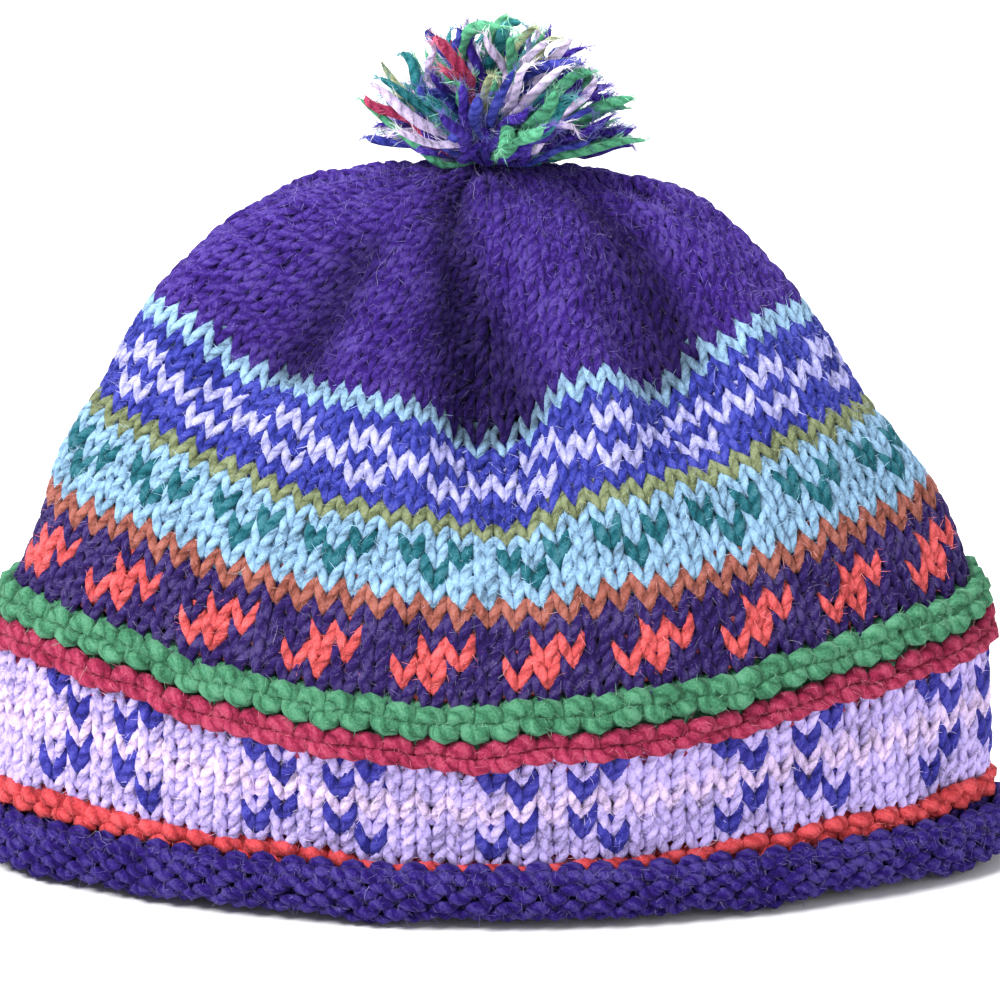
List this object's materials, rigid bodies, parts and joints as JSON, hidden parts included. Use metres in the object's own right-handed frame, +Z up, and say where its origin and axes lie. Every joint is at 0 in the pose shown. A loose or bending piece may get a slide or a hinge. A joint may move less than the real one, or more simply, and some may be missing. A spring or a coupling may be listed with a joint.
{
  "type": "knitted pompom beanie",
  "caption": "Soft hand-knitted winter hat with a rolled brim, raised ridges, coloured pattern bands, a dented dome crown and a yarn pompom on top; stands on its rim.",
  "frame": {"origin": "middle of the bounding box on the surface that the rim stands on", "axes": "+X across the hat's width, -Y towards its front, +Z up through the pompom"},
  "size_m": [0.2634, 0.1366, 0.2185],
  "materials": {
    "purple_wool": "fuzzy wool",
    "coral_wool": "fuzzy wool",
    "lilac_wool": "fuzzy wool",
    "crimson_wool": "fuzzy wool",
    "green_wool": "fuzzy wool",
    "rust_wool": "fuzzy wool",
    "sky_wool": "fuzzy wool",
    "olive_wool": "fuzzy wool",
    "royal_wool": "fuzzy wool",
    "turquoise_wool": "fuzzy wool",
    "pompom_wool": "cut yarn ends of many colours"
  },
  "bodies": {
    "root": {"brim_roll": "purple_wool", "coral_welt": "coral_wool", "cross_band": "lilac_wool", "crimson_welt": "crimson_wool", "green_welt": "green_wool", "zigzag_band": "purple_wool", "rust_stripe": "rust_wool", "lozenge_band": "sky_wool", "olive_stripe": "olive_wool", "wave_band": "royal_wool", "turquoise_stripe": "turquoise_wool", "crown": "purple_wool", "pompom": "pompom_wool"}
  },
  "joints": []
}
